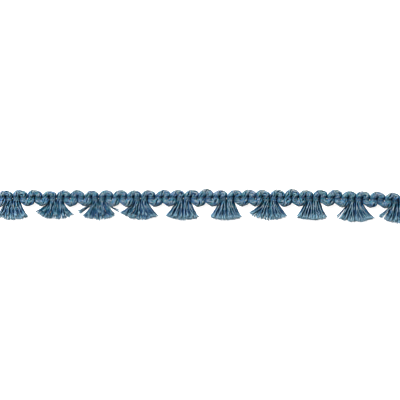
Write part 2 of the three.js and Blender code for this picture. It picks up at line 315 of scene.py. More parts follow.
# Where the rays of a fan start and how they spread, and how a yarn bends and strays from its ray.
# CLUMPING, JUMBLE, CURL and SIDE_STRAY grow with how tousled the tassel is.
ROOT_BELOW, ROOT_NEAREST, ROOT_SPREAD = 2.5, 0.4, 3.85
MIDDLE_TURN, BUNCHING = 0.02, 0.9
UNEVEN_LENGTH, UNEVEN_TURN = 0.025, 0.02
CLUMPING, CLUMPS = 0.06, 2.6
JUMBLE, JUMBLED_WITHIN = 0.25, 0.85
CURL, END_TURN = 0.6, 1.1
END_RISE = (-0.04, 0.1)
NECK_HOLD, END_HOLD = 0.18, 0.45
LOOSENING = 2.2
SIDE_STRAY, SIDE_STRAY_NEAT, SIDE_STRAY_REACH = 0.36, 0.3, 6
RISE_STRAY = (0.2, 5)


def stand_off(index, side, across):
    return sum(math.radians(degrees) for tassel, edge, degrees, outermost in STRAY_YARNS
               if (tassel, edge) == (index, side) and across > outermost)


def uneven(seed):
    """A repeatable number from -1 to 1."""
    wave = math.sin(seed * 12.9898 + 4.1414) * 43758.5453
    return (wave - math.floor(wave)) * 2 - 1


def fan_yarn(start, heading, index, side, level, place):
    """The free part of one cut yarn, from the neck to its cut end."""
    _, lean_left, lean_right, full_length, tousled = TASSEL_ROWS[index]
    layer = YARN_LAYERS[level]
    tousled *= layer["freedom"]
    across = layer["first"] + layer["step"] * place
    lean = math.radians(lean_left if side < 0 else lean_right) + stand_off(index, side, across)
    seed = index * 31 + place * 7 + level * 3 + side
    clump = CLUMPING * tousled * math.sin(2 * math.pi * (across * CLUMPS + uneven(index * 5 + side)))
    jumble = UNEVEN_TURN * across + JUMBLE * tousled * (across < JUMBLED_WITHIN)
    angle = side * (lean * across ** BUNCHING - MIDDLE_TURN + jumble * uneven(seed) + clump)
    shortened = layer["shortened"] * tousled * dice.random()
    length = full_length * (1 + UNEVEN_LENGTH * uneven(seed + 0.5)) * (1 - shortened)
    root_x = tassel_x(index) + side * (ROOT_NEAREST + ROOT_SPREAD * across)
    end = np.array([
        root_x + length * math.sin(angle), -ROOT_BELOW - length * math.cos(angle),
        layer["height"] + dice.uniform(*END_RISE)])
    last_turn = angle * END_TURN + CURL * tousled * dice.uniform(-1, 1)
    last = np.array([math.sin(last_turn), -math.cos(last_turn), 0])

    # One smooth bend leaves the neck along the leg and ends along the yarn's last turn.
    reach = np.linalg.norm(end - start)
    share = np.linspace(0, 1, int(reach / STEP) + 2)[:, None]
    hold_start = start + heading * reach * NECK_HOLD
    hold_end = end - last * reach * END_HOLD
    line = (start * (1 - share) ** 3 + 3 * hold_start * share * (1 - share) ** 2
            + 3 * hold_end * share ** 2 * (1 - share) + end * share ** 3)
    loose = np.clip(share[:, 0] * LOOSENING, 0, 1)
    along = share[:, 0] * reach
    sideways = unit(np.cross(np.gradient(line, axis=0), UP))
    side_stray = SIDE_STRAY * (SIDE_STRAY_NEAT * layer["freedom"] + tousled)
    line = line + sideways * (loose * wander(along, side_stray, SIDE_STRAY_REACH))[:, None]
    line[:, 2] += loose * wander(along, *RISE_STRAY)
    return line[1:]


# Of a pair of values, the first is for a neat tassel and the second for a fully tousled one. The
# painted shade and light of the tassel layers fade out over the last millimetres of every yarn, over
# END_SHINE, so that the cut ends look alike in both layers.
END_SHINE = (2.4, 0.5)
# In a tousled tassel the two layers take a more even painted shade, which grows in from the neck.
TOUSLED_LAYER_SHADE, LAYER_SHADE_EVENED = 0.35, 0.6
LAYER_SHADE_GROWTH, LAYER_SHADE_DELAY = 1.7, 0.1
TAIL_GROWTH, TAIL_PRESS = 0.45, 0.95
STRAY_SIZE, STRAY_FLATNESS = 1.0, 1.0


def between(pair, tousled):
    return pair[0] + (pair[1] - pair[0]) * tousled


def join_tails(yarns, halves):
    """Runs every yarn of a cord on into the half tassel at each of its free ends."""
    for at_end, index, side in halves:
        here, before = (-1, -4) if at_end else (0, 3)
        turn = slice(None) if at_end else slice(None, None, -1)
        tousled = TASSEL_ROWS[index][4]
        starts = np.array([yarn["line"][here] for yarn in yarns])
        lowest_first = np.argsort(starts[:, 2])
        lower = YARN_LAYERS[0]["yarns"]
        for level, numbers in enumerate((lowest_first[:lower], lowest_first[lower:])):
            layer = YARN_LAYERS[level]
            for place, number in enumerate(numbers[np.argsort(starts[numbers, 0] * side)]):
                yarn = yarns[number]
                start = yarn["line"][here]
                heading = unit(start - yarn["line"][before])
                tail = fan_yarn(start, heading, index, side, level, place)
                size, flatness = layer["size"], layer["flatness"]
                if stand_off(index, side, layer["first"] + layer["step"] * place) > 0:
                    size, flatness = STRAY_SIZE, STRAY_FLATNESS
                share = np.linspace(0, 1, len(tail))
                grown = share ** TAIL_GROWTH
                to_end = np.arange(len(tail))[::-1] * STEP
                # Painted shade on the lower layer and painted light on the upper one. These are evened
                # out in a tousled tassel, grow in from the neck and fade out at the cut end.
                under = layer["under"] * (1 - LAYER_SHADE_EVENED * tousled) + TOUSLED_LAYER_SHADE * tousled
                under = under * np.clip(share * LAYER_SHADE_GROWTH - LAYER_SHADE_DELAY, 0, 1)
                under = under * (1 - np.exp(-to_end / between(END_SHINE, tousled)))
                radius = yarn["radius"][here] * (1 - grown) + YARN_RADIUS * size * grown
                tail[:, 2] = np.maximum(tail[:, 2], radius * TAIL_PRESS)
                flat = yarn["flat"][here] * (1 - grown) + flatness * grown
                away = np.broadcast_to(yarn["away"][here], tail.shape)
                yarn["ends"][at_end] = (size, flatness, tousled)
                for key, tail_part in (("line", tail), ("radius", radius), ("away", away),
                                       ("loose", grown), ("flat", flat), ("under", under)):
                    parts = (yarn[key], tail_part[turn])
                    yarn[key] = np.concatenate(parts if at_end else parts[::-1])


# Each cut yarn opens into its three plies. OPENED is the share of its free part that has opened, and
# OPENED_INSIDE the share over which the plies start inside the yarn.
OPENED, OPENED_INSIDE, OPENED_RANGE = 0.6, 0.16, (0.7, 1.2)
PLIES, PLY_TWIST, PLY_UNTWISTING = 3, 3.6, 0.45
PLY_RADIUS, PLY_SIZES, PLY_SWELLING = 0.27, (0.85, 1.15), 0.3
PLY_SPREAD, PLY_OPENING, PLY_OPENINGS = 0.25, 1.9, (0.3, 1.5)
PLY_LATE_OPENING, PLY_LOWNESS, PLY_PRESS = 2.6, 0.7, 0.8
PLY_UNEVEN_RINGS = 3
PLY_START_RINGS, PLY_START_SIZE = 4, 0.3
PLY_END_RINGS, PLY_END_START = 6, 3
YARN_END_RINGS, YARN_END_SIZE = 5, 0.35


def open_ends(yarn, halves):
    """Cuts the yarn back where it opens, and gives the courses of its plies from there on."""
    plies = []
    for at_end, _, _ in halves:
        turn = slice(None) if at_end else slice(None, None, -1)
        line, loose, under = (yarn[key][turn] for key in ("line", "loose", "under"))
        size, flatness, tousled = yarn["ends"][at_end]
        free = int(np.sum(np.cumsum(loose[::-1] == 0) == 0))
        opened = int(free * OPENED * dice.uniform(*OPENED_RANGE))
        hidden = int(free * OPENED_INSIDE)
        tail = line[-opened - hidden:]
        rings = np.arange(len(tail))
        spread = np.clip((rings - hidden) / opened, 0, 1) ** PLY_LATE_OPENING
        aside = unit(np.cross(np.gradient(tail, axis=0), UP))
        start = dice.random()
        for k in range(PLIES):
            turned = rings * STEP / PLY_TWIST * (1 - PLY_UNTWISTING * spread)
            angle = 2 * np.pi * (start + k / PLIES + turned)
            reach = size * PLY_SPREAD * (1 + PLY_OPENING * spread * dice.uniform(*PLY_OPENINGS))
            course = tail + aside * (flatness * reach * np.cos(angle))[:, None]
            course[:, 2] += PLY_LOWNESS * reach * np.sin(angle)
            radius = size * PLY_RADIUS * (1 + PLY_SWELLING * spread) * dice.uniform(*PLY_SIZES)
            radius *= np.clip((rings + 1) / PLY_START_RINGS, PLY_START_SIZE, 1)
            radius *= np.clip((rings[::-1] + PLY_END_START) / PLY_END_RINGS, 0, 1)
            course[:, 2] = np.maximum(course[:, 2], radius * PLY_PRESS)
            last = len(tail) - dice.integers(0, PLY_UNEVEN_RINGS)
            ply = laid_strand(course[:last], radius[:last], UP, flatness)
            ply.update(loose=np.ones(last), under=under[-len(tail):][:last], tousled=tousled,
                       yarn_z=tail[:last, 2], spread=spread[:last])
            plies.append(ply)
        kept = np.ones(len(line), bool)
        kept[len(line) - opened:] = False
        narrowing = (len(line) - opened - np.arange(len(line))) / YARN_END_RINGS
        narrowing = np.clip(narrowing, YARN_END_SIZE, 1)
        yarn["radius"] = (yarn["radius"][turn] * narrowing)[turn]
        for key in ("line", "radius", "away", "loose", "flat", "under"):
            yarn[key] = yarn[key][kept[turn]]
    return plies


# How pale the yarns are painted, from 0 to 1: part wear, part painted light and shade. A yarn's
# outward side counts as 1, and its flanks take a painted shade set below, one for the cord and one
# for where it is loose; there its upper side takes painted light. The valley along the binding
# threads takes a painted shade, the lobes' crests are rubbed paler, and the tassels' necks take a
# painted light.
LOBE_FLANK_LIGHT, LOOSE_FLANK_LIGHT = 0.5, -0.5
VALLEY_SHADE, VALLEY_Y, VALLEY_REACH, LOOSE_LESS_SHADE = 0.2, 0.8, 1.8, 0.5
CREST_WEAR, CREST_FROM, CREST_REACH = 0.34, 3.9, 1.5
NECK_LIGHT, NECK_LIGHT_Y, NECK_LIGHT_REACH = 0.62, -5.2, 1.9

# Before they part, the plies take a painted light on top of their yarn and a painted shade between
# two yarns, the more so in a neat tassel. Cut ends are pale over CUT_PALE, and a thread's are as in
# a half-tousled tassel.
CONTRAST, CONTRAST_LEVEL = (3.2, 1.6), 0.7
CUT_PALE = (1.9, 0.7)

# The upper and lower ends of the gaps between the legs: under the top lobes, over the bottom lobes
# and over the tassels. The yarns in these gaps take a painted shade, darker downwards from HOLLOW_TOP.
HOLLOW_ENDS = ((2.3, -2.3), (3.4, -0.3), (3.4, -1.8))
HOLLOW_SHADE, HOLLOW_REACH, HOLLOW_TOP, HOLLOW_DEPTH = 1.1, 0.7, 3.5, 1.3


def hollow_shade_share(points):
    """How deep a point lies in one of the narrow gaps between the legs, from 0 to 1."""
    gap = np.round((points[..., 0] - FIRST_TASSEL_X) / LEG_PITCH)
    aside = points[..., 0] - FIRST_TASSEL_X - gap * LEG_PITCH
    kind = np.where(gap % 2 == 1, 0, np.where(gap % (2 * LOBES_PER_TASSEL) == 0, 2, 1))
    upper, lower = (np.array(ends)[kind] for ends in zip(*HOLLOW_ENDS))
    beyond = np.maximum(np.maximum(points[..., 1] - upper, lower - points[..., 1]), 0)
    low = np.clip((HOLLOW_TOP - points[..., 2]) / HOLLOW_DEPTH, 0, 1)
    return low * np.exp(-(aside ** 2 + beyond ** 2) / HOLLOW_REACH ** 2)


def wear_and_light_share(strand, points, spoke):
    """How pale a strand is painted at its points, part wear and part painted light and shade, from the
    way that each faces and where it lies.
    """
    loose = strand["loose"][:, None]
    # Painted light on the outward and upper sides of the yarns, and painted shade on their flanks and
    # inner sides.
    outward = np.einsum("rsk,rk->rs", spoke, unit(strand["away"]))
    worn_and_lit = (1 - loose) * (LOBE_FLANK_LIGHT + (1 - LOBE_FLANK_LIGHT) * outward) + (
        loose * (LOOSE_FLANK_LIGHT + (1 - LOOSE_FLANK_LIGHT) * spoke[..., 2]))
    # Until the plies part, painted light on top of their yarn and painted shade between the yarns.
    if "yarn_z" in strand:
        height = (points[..., 2] - strand["yarn_z"][:, None]) / YARN_RADIUS
        height_light = between(CONTRAST, strand["tousled"]) * (height - CONTRAST_LEVEL) + CONTRAST_LEVEL
        worn_and_lit += (1 - strand["spread"])[:, None] * (height_light - worn_and_lit)
    # Painted shade along the valley of the binding threads, weaker on loose yarns.
    from_valley = points[..., 1] - VALLEY_Y
    worn_and_lit -= VALLEY_SHADE * np.exp(-(from_valley / VALLEY_REACH) ** 2) * (1 - LOOSE_LESS_SHADE * loose)
    # Painted shade in the narrow gaps between the legs.
    worn_and_lit -= HOLLOW_SHADE * hollow_shade_share(points)
    crest = np.clip((np.abs(from_valley) - CREST_FROM) / CREST_REACH, 0, 1)
    worn_and_lit += CREST_WEAR * crest * (1 - loose)
    # The tassels' necks take a painted light.
    neck = np.exp(-((points[..., 1] - NECK_LIGHT_Y) / NECK_LIGHT_REACH) ** 2)
    worn_and_lit += NECK_LIGHT * neck * loose
    # The tassel layers' painted shade, and painted light on the upper layer.
    return worn_and_lit - strand["under"][:, None]


# The triangles of a tube's tips stand as a thin fringe at both ends of its map.
TIP_WIDTH, TIP_HEIGHT = 0.8, 0.002


def tube_faces(rings, sides, share):
    """The faces of a closed tube and their map, from 0 to 1 around and along. Its tips come last."""
    ring, k = np.meshgrid(np.arange(rings - 1), np.arange(sides), indexing="ij")
    nxt = (k + 1) % sides
    first = ring * sides
    quads = np.stack([first + k, first + nxt, first + sides + nxt, first + sides + k], axis=-1)
    u = np.stack([k, k + 1, k + 1, k], axis=-1) / sides
    v = share[np.stack([ring, ring, ring + 1, ring + 1], axis=-1)]
    tip, last = rings * sides, (rings - 1) * sides
    tris = np.array([(tip, (i + 1) % sides, i) for i in range(sides)]
                    + [(tip + 1, last + i, last + (i + 1) % sides) for i in range(sides)])
    tip_uv = np.array([((i + 0.5) / sides, tip_v) for tip_v in (0.0, 1.0) for i in range(sides)])
    tri_uv = np.repeat(tip_uv[:, None], 3, axis=1)
    tri_uv[:, 1, 0] -= TIP_WIDTH / 2 / sides
    tri_uv[:, 2, 0] += TIP_WIDTH / 2 / sides
    tri_uv[:sides, 0, 1] += TIP_HEIGHT
    tri_uv[sides:, 0, 1] -= TIP_HEIGHT
    return {"quads": quads.reshape(-1, 4), "tris": tris, "tri_uv": tri_uv,
            "quad_uv": np.stack([u, v], axis=-1).reshape(-1, 4, 2)}


# Every strand takes its pattern of fibres from a place of its own.
PATTERN_PLACES = (0, 90)
LOWEST_POINT = 0.02


def shaped_strand(strand, tint, sides, valley, ply_twist, cut_start=False, cut_end=False):
    """One twisted yarn or thread as a closed tube, with what its material reads.

    Every other corner of its section is drawn in to valley, and the section turns once in ply_twist.
    """
    line, loose = strand["line"], strand["loose"]
    rings = len(line)
    along = distance_along(line)
    tangent = unit(np.gradient(line, axis=0))
    across = unit(np.cross(tangent, strand["away"]))
    out = np.cross(across, tangent)
    around = 2 * np.pi * np.arange(sides) / sides
    angle = around + (2 * np.pi * (along / ply_twist + dice.random()))[:, None]
    raised = np.arange(sides) % 2 == 0
    spoke = np.cos(angle)[..., None] * out[:, None] + np.sin(angle)[..., None] * across[:, None]
    broad = (np.cos(angle)[..., None] * out[:, None]
             + (strand["flat"][:, None] * np.sin(angle))[..., None] * across[:, None])
    thickness = strand["radius"][:, None] * np.where(raised, 1.0, valley)
    points = line[:, None] + broad * thickness[..., None]
    points[..., 2] = np.maximum(points[..., 2], LOWEST_POINT)
    to_cut = np.full(rings, np.inf)
    if cut_start:
        to_cut = along
    if cut_end:
        to_cut = np.minimum(to_cut, along[-1] - along)
    cut = np.exp(-to_cut / between(CUT_PALE, strand.get("tousled", 0.5)))
    start = dice.uniform(*PATTERN_PLACES)
    place = np.stack(np.broadcast_arrays(
        np.cos(around), np.sin(around), (start + along)[:, None]), axis=-1)

    def with_tips(values, start_tip, end_tip):
        flat_values = values.reshape(rings * sides, *values.shape[2:])
        return np.concatenate([flat_values, [start_tip], [end_tip]])

    return {
        "points": with_tips(points, line[0], line[-1]),
        "face": with_tips(wear_and_light_share(strand, points, spoke), 0.5, 0.5),
        "ply": with_tips(np.repeat(raised[None], rings, 0).astype(float), 0.5, 0.5),
        "cut": with_tips(np.repeat(cut[:, None], sides, 1), float(cut_start), float(cut_end)),
        "tint": np.full(rings * sides + 2, tint),
        "free": with_tips(np.repeat(loose[:, None], sides, 1), loose[0], loose[-1]),
        "place": with_tips(place, (0, 0, start), (0, 0, start + along[-1])),
        "sides": sides, **tube_faces(rings, sides, along / along[-1]),
    }


# A fine fibre is a bent hair of three rings of three points, and a tip.
FIBRE_POINTS = 10
FIBRE_RINGS, FIBRE_TAPER = (0, 0.36, 0.72, 1.0), (1.0, 0.9, 0.7)
FIBRE_LOW_LINE, FIBRE_LOW_POINT = 0.04, 0.01
FIBRE_FACE = 0.6


def fine_fibres(starts, headings, bends, lengths, thickness, cut):
    """Single fibres that stand off the yarns, each a thin tapered hair."""
    count = len(starts)
    share = np.array(FIBRE_RINGS)
    line = (starts[:, None] + (headings * lengths[:, None])[:, None] * share[:, None]
            + bends[:, None] * (share ** 2)[:, None])
    line[..., 2] = np.maximum(line[..., 2], FIBRE_LOW_LINE)
    side = unit(np.cross(headings, dice.normal(size=(count, 3))))
    up = np.cross(side, unit(headings))
    width = thickness * np.array(FIBRE_TAPER)
    around = 2 * np.pi * np.arange(3) / 3
    spoke = np.cos(around)[:, None] * side[:, None] + np.sin(around)[:, None] * up[:, None]
    rings = line[:, :3, None] + spoke[:, None] * width[:, None, None]
    points = np.concatenate([rings.reshape(count, 9, 3), line[:, 3:4]], axis=1).reshape(-1, 3)
    points[:, 2] = np.maximum(points[:, 2], FIBRE_LOW_POINT)
    first = (np.arange(count) * FIBRE_POINTS)[:, None, None]
    quads = np.array([(r + k, r + (k + 1) % 3, r + 3 + (k + 1) % 3, r + 3 + k)
                      for r in (0, 3) for k in range(3)])
    tris = np.array([(0, 2, 1)] + [(6 + k, 6 + (k + 1) % 3, 9) for k in range(3)])
    quad_uv = np.array([[(k / 3, r / 3), ((k + 1) / 3, r / 3), ((k + 1) / 3, (r + 1) / 3),
                         (k / 3, (r + 1) / 3)] for r in range(2) for k in range(3)])
    tri_uv = np.array([[(0, 0), (0.3, 0), (0.1, 0.02)]]
                      + [[(k / 3, 0.67), ((k + 1) / 3, 0.67), ((k + 0.5) / 3, 1)] for k in range(3)])
    each = len(points)
    tint = np.repeat(dice.random(count), FIBRE_POINTS)
    pattern_place = np.repeat(dice.uniform(*PATTERN_PLACES, count), FIBRE_POINTS)
    return {
        "points": points, "face": np.full(each, FIBRE_FACE), "ply": np.ones(each),
        "cut": np.repeat(cut, FIBRE_POINTS), "tint": tint, "free": np.ones(each),
        "place": np.column_stack([np.zeros((each, 2)), pattern_place]),
        "quads": (first + quads).reshape(-1, 4), "tris": (first + tris).reshape(-1, 3),
        "quad_uv": np.tile(quad_uv, (count, 1, 1)), "tri_uv": np.tile(tri_uv, (count, 1, 1)),
    }


# Fibres that splay from every cut end. FRAY_SPLAY is how much their headings differ.
FRAY_PER_PLY = 19
FRAY_AROUND, FRAY_INSIDE, FRAY_BEYOND = 0.18, (0.2, 1.9), (-0.3, 0.7)
FRAY_SPLAY, FRAY_BEND, FRAY_FLATNESS = 0.24, 0.16, (1, 1, 0.7)
FRAY_SHORTEST, FRAY_THICKNESS, FRAY_PALE = 0.5, 0.045, (0.5, 1.0)
FRAY_LOWEST = 0.05


def frayed_ends(plies):
    starts, headings, lengths = [], [], []
    for ply in plies:
        heading = unit(ply["line"][-1] - ply["line"][-4])
        around = dice.normal(0, FRAY_AROUND, (FRAY_PER_PLY, 3))
        inside = dice.uniform(*FRAY_INSIDE, FRAY_PER_PLY)
        starts.append(ply["line"][-1] + around - heading * inside[:, None])
        headings.append(heading + dice.normal(0, FRAY_SPLAY, (FRAY_PER_PLY, 3)) * FRAY_FLATNESS)
        lengths.append(inside + dice.uniform(*FRAY_BEYOND, FRAY_PER_PLY))
    starts, headings = np.concatenate(starts), unit(np.concatenate(headings))
    starts[:, 2] = np.maximum(starts[:, 2], FRAY_LOWEST)
    count = len(starts)
    return fine_fibres(starts, headings, dice.normal(0, FRAY_BEND, (count, 3)),
                       np.maximum(np.concatenate(lengths), FRAY_SHORTEST), FRAY_THICKNESS,
                       dice.uniform(*FRAY_PALE, count))


# Short fibres that stand off the yarns, partly along them, partly outwards and partly by chance.
FUZZ_PER_WEFT, FUZZ_PER_TASSELS, FUZZ_PER_PAIR = 480, 170, 300
FUZZ_RUN, FUZZ_OUT, FUZZ_CHANCE, FUZZ_BEND = 0.8, 0.55, 0.3, 0.25
FUZZ_ROOT, FUZZ_LENGTHS, FUZZ_THICKNESS, FUZZ_PALE = 0.05, (0.5, 1.5), 0.022, (0.1, 0.5)


def loose_fuzz(strands, count):
    per_strand = count // len(strands)
    starts, headings = [], []
    for strand in strands:
        ring_points = strand["points"][:-2].reshape(-1, strand["sides"], 3)
        middles = ring_points.mean(1)
        ring = dice.integers(2, len(middles) - 2, per_strand)
        corner = dice.integers(0, strand["sides"], per_strand)
        start = ring_points[ring, corner]
        outward = unit(start - middles[ring])
        run = unit(middles[ring + 1] - middles[ring - 1]) * dice.choice([-1, 1], per_strand)[:, None]
        starts.append(start - outward * FUZZ_ROOT)
        headings.append(
            run * FUZZ_RUN + outward * FUZZ_OUT + dice.normal(0, FUZZ_CHANCE, (per_strand, 3)))
    starts, headings = np.concatenate(starts), unit(np.concatenate(headings))
    total = len(starts)
    return fine_fibres(starts, headings, dice.normal(0, FUZZ_BEND, (total, 3)),
                       dice.uniform(*FUZZ_LENGTHS, total), FUZZ_THICKNESS,
                       dice.uniform(*FUZZ_PALE, total))


# The trim doesn't lie quite evenly: its tassels are shifted along it, and its right-hand end droops.
MIDLINE_Y = 4.95
DROOP, DROOP_START_X, DROOP_MOST, DROOP_BEND = 2.0, 75.0, 1.15, 1.5


def settle(points):
    """Moves points from the even layout to where they really lie."""
    x = points[..., 0].copy()
    shifts = [row[0] for row in TASSEL_ROWS]
    points[..., 0] += np.interp((x - FIRST_TASSEL_X) / TASSEL_PITCH, range(TASSELS), shifts)
    along = np.clip((x - DROOP_START_X) / (tassel_x(TASSELS - 1) - DROOP_START_X), 0, DROOP_MOST)
    points[..., 1] += MIDLINE_Y - DROOP * along ** DROOP_BEND
    return points


# A piece's map. Along its foot lie the fibres in small cells. Above them stand a strip for each
# strand on the left and short strips for the plies on the right, stacked in columns.
MAP_FOOT, MAP_HEIGHT = 0.15, 0.84
STRAND_SHARE, STRAND_FILL, STRAND_EDGE = 0.7, 0.92, 0.04
PLY_ROWS, PLY_FILL, PLY_HEIGHT_FILL, PLY_EDGE = 7, 0.9, 0.8, 0.05
FIBRE_COLUMNS, FIBRE_FILL, FIBRE_FOOT = 96, 0.8, 0.002
FIBRE_CELL, FIBRE_HEIGHT, FIBRE_BATCH = 0.0026, 0.002, 0.07
MM = 0.001
scene = bpy.context.scene


def place_on_map(part, corner, size):
    for key in ("quad_uv", "tri_uv"):
        part[key] = part[key] * size + corner


def strand_mesh(name, strands, plies, fibres, material):
    """Makes one object of its strands, its plies and its batches of fibres."""
    strip = STRAND_SHARE / len(strands)
    for number, strand in enumerate(strands):
        place_on_map(strand, [(number + STRAND_EDGE) * strip, MAP_FOOT],
                     [STRAND_FILL * strip, MAP_HEIGHT])
    ply_width = (1 - STRAND_SHARE) / max(math.ceil(len(plies) / PLY_ROWS), 1)
    for number, ply in enumerate(plies):
        column, row = divmod(number, PLY_ROWS)
        place_on_map(ply, [STRAND_SHARE + (column + PLY_EDGE) * ply_width,
                           MAP_FOOT + MAP_HEIGHT * row / PLY_ROWS],
                     [PLY_FILL * ply_width, PLY_HEIGHT_FILL / PLY_ROWS])
    for batch_number, batch in enumerate(fibres):
        count = len(batch["points"]) // FIBRE_POINTS
        cell = np.arange(count)
        corner = np.column_stack([cell % FIBRE_COLUMNS / FIBRE_COLUMNS,
                                  cell // FIBRE_COLUMNS * FIBRE_CELL + FIBRE_FOOT])
        corner[:, 1] += batch_number * FIBRE_BATCH
        for key in ("quad_uv", "tri_uv"):
            each = len(batch[key]) // count
            batch[key] = (batch[key] * [FIBRE_FILL / FIBRE_COLUMNS, FIBRE_HEIGHT]
                          + np.repeat(corner, each, 0)[:, None])

    parts = strands + plies + fibres

    def joined(key):
        return np.concatenate([part[key] for part in parts])

    offsets = np.cumsum([0] + [len(part["points"]) for part in parts])
    points = settle(joined("points")) * MM
    quads = np.concatenate([part["quads"] + at for part, at in zip(parts, offsets)])
    tris = np.concatenate([part["tris"] + at for part, at in zip(parts, offsets)])
    mesh = bpy.data.meshes.new(name)
    mesh.vertices.add(len(points))
    mesh.vertices.foreach_set("co", points.astype(np.float32).ravel())
    corners = np.concatenate([quads.ravel(), tris.ravel()])
    mesh.loops.add(len(corners))
    mesh.loops.foreach_set("vertex_index", corners.astype(np.int32))
    starts = np.concatenate([np.arange(len(quads)) * 4, len(quads) * 4 + np.arange(len(tris)) * 3])
    mesh.polygons.add(len(starts))
    mesh.polygons.foreach_set("loop_start", starts.astype(np.int32))
    mesh.update(calc_edges=True)
    mesh.shade_smooth()
    uv = mesh.uv_layers.new(name="OFBake")
    corner_uv = np.concatenate([joined(key).reshape(-1, 2) for key in ("quad_uv", "tri_uv")])
    uv.uv.foreach_set("vector", corner_uv.astype(np.float32).ravel())
    for key in ("face", "ply", "cut", "tint", "free"):
        values = mesh.attributes.new(key, "FLOAT", "POINT").data
        values.foreach_set("value", joined(key).astype(np.float32))
    values = mesh.attributes.new("place", "FLOAT_VECTOR", "POINT").data
    values.foreach_set("vector", joined("place").astype(np.float32).ravel())
    mesh.validate()
    mesh.materials.append(material)
    piece = bpy.data.objects.new(name, mesh)
    scene.collection.objects.link(piece)
    return piece


def add_node(tree, kind, inputs=(), **settings):
    """Adds a shader node. inputs gives its sockets values or links, by name or number."""
    node = tree.nodes.new(kind)
    for key, value in settings.items():
        setattr(node, key, value)
    for socket, value in dict(inputs).items():
        if isinstance(value, bpy.types.NodeSocket):
            tree.links.new(value, node.inputs[socket])
        else:
            node.inputs[socket].default_value = value
    return node


def mixed_colour(tree, factor, first, second, blend_type="MIX"):
    """A colour between two. On the Mix node, sockets 6 and 7 take colours and 2 gives one."""
    mix = add_node(tree, "ShaderNodeMix", {"Factor": factor, 6: first, 7: second},
                   data_type="RGBA", blend_type=blend_type)
    return mix.outputs[2]


def maths(tree, operation, *values, **settings):
    node = add_node(tree, "ShaderNodeMath", enumerate(values), operation=operation, **settings)
    return node.outputs[0]


def mapped(tree, value, low, high, to_low=0.0, to_high=1.0, **settings):
    """Maps low to to_low and high to to_high, and clamps what lies outside."""
    node = add_node(tree, "ShaderNodeMapRange", {
        "Value": value, "From Min": low, "From Max": high, "To Min": to_low, "To Max": to_high},
        **settings)
    return node.outputs[0]


# The dye and the fibres of a yarn. Where it is worn and lit it is paler, with painted light; its
# shaded flanks and hollows take a painted deep blue shade; the dye drifts from teal to violet, and
# cut fibres look palest.
spun = bpy.data.node_groups.new("Spun fibres", "ShaderNodeTree")
for title in ("Shade Colour", "Face Colour", "Worn Highlight Colour", "Tassel Colour", "Cut Colour"):
    spun.interface.new_socket(title, in_out="INPUT", socket_type="NodeSocketColor")
for title in ("Fibre Density", "Dye Patches"):
    spun.interface.new_socket(title, in_out="INPUT", socket_type="NodeSocketFloat")
spun.interface.new_socket("Colour", in_out="OUTPUT", socket_type="NodeSocketColor")
spun.interface.new_socket("Height", in_out="OUTPUT", socket_type="NodeSocketFloat")
given = add_node(spun, "NodeGroupInput")
face, ply, cut, tint, free, place = (
    add_node(spun, "ShaderNodeAttribute", attribute_name=key)
    for key in ("face", "ply", "cut", "tint", "free", "place"))

# Streaks of fibres run along the yarn, and slow patches of it are worn more or less.
stretched = add_node(spun, "ShaderNodeVectorMath", {0: place.outputs["Vector"], 1: (1.0, 1.0, 0.5)},
                     operation="MULTIPLY")
streaks = add_node(spun, "ShaderNodeTexNoise", {
    "Vector": stretched.outputs[0], "Scale": given.outputs["Fibre Density"], "Detail": 3.0,
    "Roughness": 0.65})
streak = mapped(spun, streaks.outputs["Fac"], 0.32, 0.68)
slow = add_node(spun, "ShaderNodeVectorMath", {0: place.outputs["Vector"], 1: (0.25, 0.25, 0.3)},
                operation="MULTIPLY")
wear = add_node(spun, "ShaderNodeTexNoise", {"Vector": slow.outputs[0], "Scale": 1.0, "Detail": 1.0})
worn = mapped(spun, wear.outputs["Fac"], 0.3, 0.7, -0.18, 0.18)

# From the painted deep blue shade to the face colour by how much it is worn and lit, more on raised
# plies and streaks.
worn_and_lit = mapped(spun, face.outputs["Fac"], 0.1, 0.95, 0.06, 0.57, clamp=False)
worn_and_lit = maths(spun, "MULTIPLY_ADD", ply.outputs["Fac"], 0.15, worn_and_lit)
worn_and_lit = maths(spun, "MULTIPLY_ADD", streak, 0.16, worn_and_lit)
worn_and_lit = maths(spun, "ADD", worn_and_lit, worn)
colour = mixed_colour(spun, worn_and_lit, given.outputs["Shade Colour"], given.outputs["Face Colour"])

# The dye drifts from teal to violet, over the cloth and from yarn to yarn.
spot = add_node(spun, "ShaderNodeTexCoord")
patches = add_node(spun, "ShaderNodeTexNoise", {
    "Vector": spot.outputs["Object"], "Scale": given.outputs["Dye Patches"], "Detail": 2.0})
drift = mapped(spun, patches.outputs["Fac"], 0.36, 0.64)
shift = maths(spun, "MULTIPLY_ADD", tint.outputs["Fac"], 0.5, -0.25)
violet = maths(spun, "ADD", drift, shift, use_clamp=True)
hue = mixed_colour(spun, violet, (0.7, 1.1, 0.96, 1), (1.25, 0.92, 1.18, 1))
colour = mixed_colour(spun, 1.0, colour, hue, "MULTIPLY")

# The palest crests, in the cord greyer than in the tassels, take a colour that is part wear and part
# painted highlight, and the cut fibres are pale too.
crest = mapped(spun, worn_and_lit, 0.5, 1.0)
pale = mixed_colour(spun, free.outputs["Fac"], given.outputs["Worn Highlight Colour"],
                    given.outputs["Tassel Colour"])
colour = mixed_colour(spun, crest, colour, pale)
paler = maths(spun, "MULTIPLY", cut.outputs["Fac"], 0.75)
colour = mixed_colour(spun, paler, colour, given.outputs["Cut Colour"])
add_node(spun, "NodeGroupOutput", {"Colour": colour, "Height": streak})


